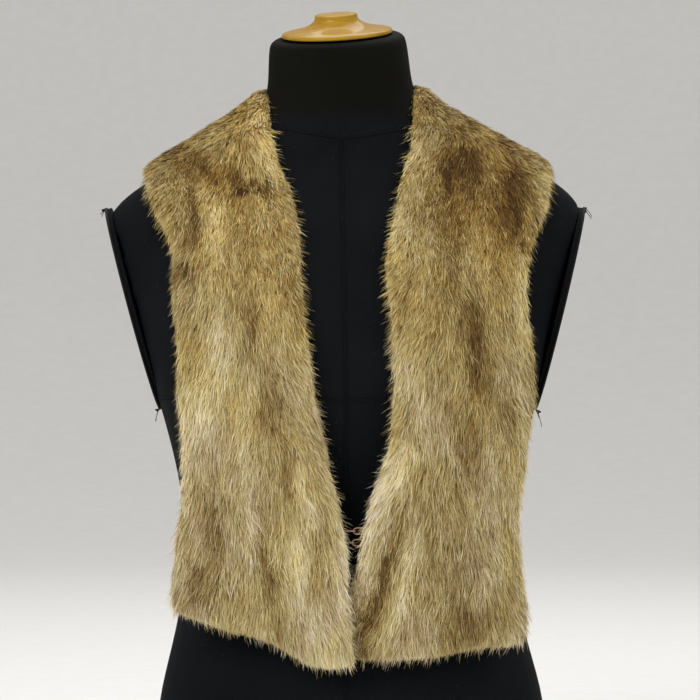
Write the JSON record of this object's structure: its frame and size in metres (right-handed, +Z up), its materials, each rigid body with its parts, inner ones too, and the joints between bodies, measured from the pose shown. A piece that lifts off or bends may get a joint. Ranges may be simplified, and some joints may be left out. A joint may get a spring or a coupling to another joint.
{
  "type": "fur collar stole on a limbless dress form",
  "caption": "Open-fronted fur collar stole with two waist-length fronts and a neck yoke, on a jersey-covered limbless dress form with a turned wood neck cap",
  "frame": {"origin": "on the base plane, under the middle of the whole part's box", "axes": "+Z up, the front faces -Y, +X is the wearer's left"},
  "size_m": [0.3846, 0.256, 0.6411],
  "materials": {
    "fur": "pale tan fur with brown bands and cream guard hair tips",
    "jersey": "black cotton jersey, fine knit, matt",
    "cap_wood": "honey blond turned wood, clear varnish",
    "hook_thread": "pinkish beige thread wound on wire"
  },
  "bodies": {
    "root": {"form_body": "jersey", "right_arm_plate": "jersey", "left_arm_plate": "jersey", "form_cap": "cap_wood", "back_yoke": "fur", "right_front": "fur", "left_front": "fur", "hook_upper": "hook_thread", "eye_upper": "hook_thread", "hook_lower": "hook_thread", "eye_lower": "hook_thread"}
  },
  "joints": []
}
